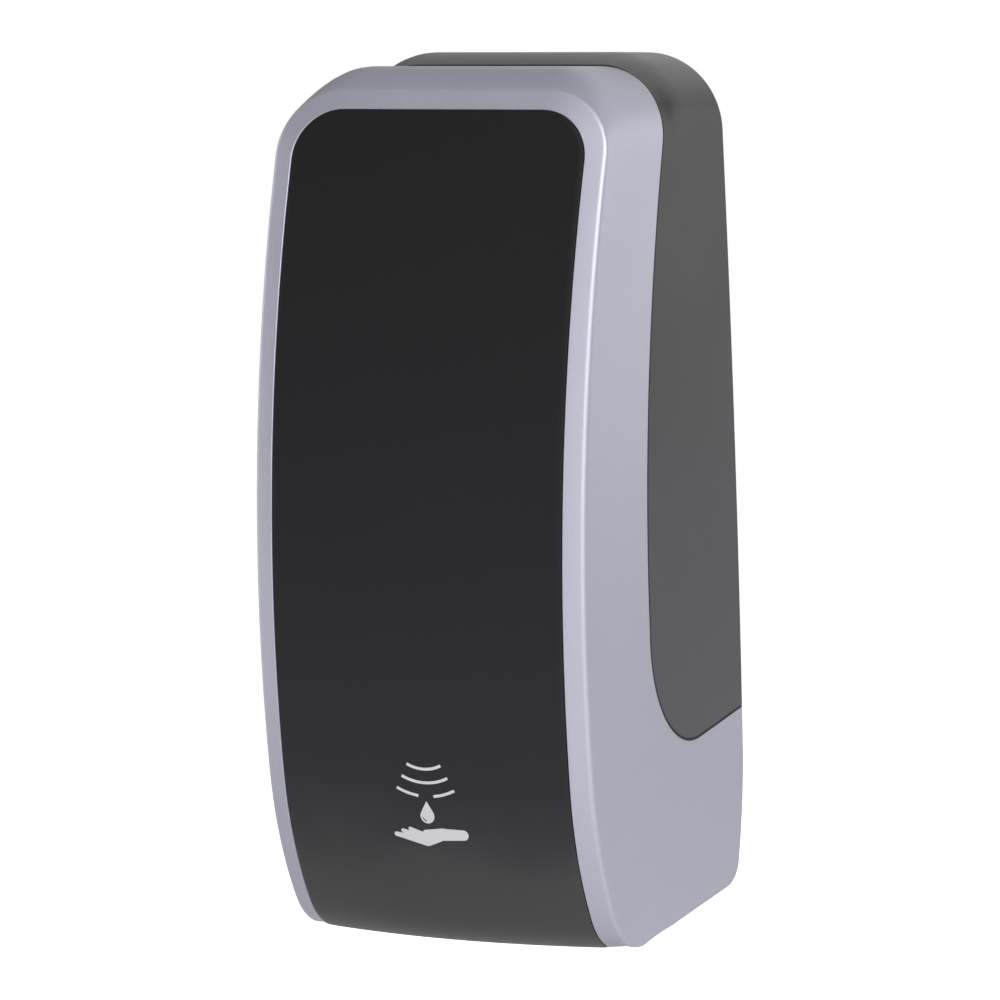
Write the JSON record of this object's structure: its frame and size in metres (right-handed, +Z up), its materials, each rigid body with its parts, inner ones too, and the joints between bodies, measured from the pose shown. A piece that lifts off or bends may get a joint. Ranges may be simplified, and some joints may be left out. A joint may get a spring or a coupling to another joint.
{
  "type": "sensor disinfectant dispenser",
  "caption": "Tall wall dispenser with a smoked front window in a silver frame, a dark rear shell, and a tank, pump and hand sensor inside.",
  "frame": {"origin": "on the wall face of the wall plate, on the middle plane, at half the cover's height", "axes": "+Z up, +X to the viewer's right, -Y out from the wall towards the viewer"},
  "size_m": [0.1394, 0.1285, 0.3065],
  "materials": {
    "silver_plastic": "satin metallic silver",
    "dark_plastic": "fine satin",
    "smoked_plastic": "smoked, translucent",
    "white_plastic": "satin",
    "grey_plastic": "satin",
    "black_plastic": "satin",
    "clear_plastic": "clear",
    "gear_plastic": "natural",
    "steel": "bright zinc",
    "rubber": "matt",
    "silicone": "translucent",
    "board": "green lacquer",
    "cell_jacket": "gloss",
    "blue_plastic": "satin",
    "lamp_plastic": "clear red"
  },
  "bodies": {
    "wall_unit": {"battery_1": "cell_jacket", "battery_2": "cell_jacket", "battery_3": "cell_jacket", "battery_4": "cell_jacket", "battery_box": "black_plastic", "chassis": "grey_plastic", "chassis_screw_1": "steel", "chassis_screw_2": "steel", "chassis_screw_3": "steel", "chassis_screw_4": "steel", "circuit_board": "board", "compound_axle": "steel", "control_panel": "white_plastic", "gearbox_housing": "grey_plastic", "hinge_pin_left": "steel", "hinge_pin_right": "steel", "inlet_socket": "white_plastic", "latch_guide": "grey_plastic", "latch_spring": "steel", "motor": "steel", "nozzle": "black_plastic", "nozzle_shroud": "black_plastic", "pump_cover": "clear_plastic", "pump_hose": "silicone", "pump_housing": "white_plastic", "pump_screw_1": "steel", "pump_screw_2": "steel", "pump_screw_3": "steel", "pump_screw_4": "steel", "sensor_block": "black_plastic", "sensor_lens": "smoked_plastic", "sensor_receiver": "black_plastic", "sensor_sender": "clear_plastic", "status_lamp": "lamp_plastic", "wall_plate": "white_plastic"},
    "cover": {"front_frame": "silver_plastic", "rear_shell": "dark_plastic", "front_window": "smoked_plastic", "window_gasket": "rubber", "shell_screw_1": "steel", "shell_screw_2": "steel", "shell_screw_3": "steel", "shell_screw_4": "steel"},
    "latch": {"latch_slider": "black_plastic"},
    "tank": {"refill_tank": "clear_plastic", "tank_seal": "rubber", "valve_spring": "steel"},
    "lid": {"tank_lid": "grey_plastic"},
    "valve": {"valve_poppet": "white_plastic"},
    "rotor_set": {"rotor": "gear_plastic", "rotor_shaft": "steel", "output_gear": "gear_plastic"},
    "roller_a": {"roller_1": "steel"},
    "roller_b": {"roller_2": "steel"},
    "roller_c": {"roller_3": "steel"},
    "compound": {"compound_gear": "gear_plastic"},
    "pinion": {"motor_pinion": "steel"},
    "cell_door": {"battery_door": "black_plastic"},
    "button": {"power_button": "blue_plastic"},
    "dose_knob": {"dose_switch": "black_plastic"}
  },
  "joints": [
    {"name": "cover_hinge", "type": "hinge", "parent": "wall_unit", "child": "cover", "pos_m": [0, -0.008, -0.13999], "axis": [1, 0, 0], "range_deg": [0, 70]},
    {"name": "latch_slide", "type": "slide", "parent": "wall_unit", "child": "latch", "axis": [0, 0, -1], "range_m": [0, 0.006], "stiffness_N_per_m": 200, "springref_m": -0.004, "deforming": ["latch_spring"]},
    {"name": "tank_lift", "type": "slide", "parent": "wall_unit", "child": "tank", "axis": [0, 0, 1], "range_m": [0, 0.012]},
    {"name": "lid_hinge", "type": "hinge", "parent": "tank", "child": "lid", "pos_m": [0, -0.0424, 0.0999], "axis": [-1, 0, 0], "range_deg": [0, 85]},
    {"name": "valve_stroke", "type": "slide", "parent": "tank", "child": "valve", "axis": [0, 0, -1], "range_m": [0, 0.003], "deforming": ["valve_spring"]},
    {"name": "rotor_turn", "type": "hinge", "parent": "wall_unit", "child": "rotor_set", "pos_m": [0, -0.062, -0.082], "axis": [0, -1, 0], "continuous": true},
    {"name": "roller_a_spin", "type": "hinge", "parent": "rotor_set", "child": "roller_a", "pos_m": [0, -0.062, -0.0705], "axis": [0, -1, 0], "continuous": true},
    {"name": "roller_b_spin", "type": "hinge", "parent": "rotor_set", "child": "roller_b", "pos_m": [-0.00996, -0.062, -0.08775], "axis": [0, -1, 0], "continuous": true},
    {"name": "roller_c_spin", "type": "hinge", "parent": "rotor_set", "child": "roller_c", "pos_m": [0.00996, -0.062, -0.08775], "axis": [0, -1, 0], "continuous": true},
    {"name": "compound_turn", "type": "hinge", "parent": "wall_unit", "child": "compound", "pos_m": [0.00524, -0.041, -0.10156], "axis": [0, -1, 0], "continuous": true},
    {"name": "motor_turn", "type": "hinge", "parent": "wall_unit", "child": "pinion", "pos_m": [0.01424, -0.0358, -0.08597], "axis": [0, -1, 0], "continuous": true},
    {"name": "battery_door_hinge", "type": "hinge", "parent": "wall_unit", "child": "cell_door", "pos_m": [-0.05693, -0.0397, -0.0927], "axis": [0, 0, -1], "range_deg": [0, 90]},
    {"name": "button_press", "type": "slide", "parent": "wall_unit", "child": "button", "axis": [0, 1, 0], "range_m": [0, 0.001], "stiffness_N_per_m": 600, "springref_m": -0.0005},
    {"name": "dose_slide", "type": "slide", "parent": "wall_unit", "child": "dose_knob", "axis": [0, 0, 1], "range_m": [-0.003, 0.003]}
  ],
  "couplings": [
    {"joint": "valve_stroke", "follows": "tank_lift", "ratio": 0.25},
    {"joint": "roller_a_spin", "follows": "rotor_turn", "ratio": -3.8095},
    {"joint": "roller_b_spin", "follows": "rotor_turn", "ratio": -3.8095},
    {"joint": "roller_c_spin", "follows": "rotor_turn", "ratio": -3.8095},
    {"joint": "compound_turn", "follows": "rotor_turn", "ratio": -3.5},
    {"joint": "motor_turn", "follows": "rotor_turn", "ratio": 10.5}
  ]
}
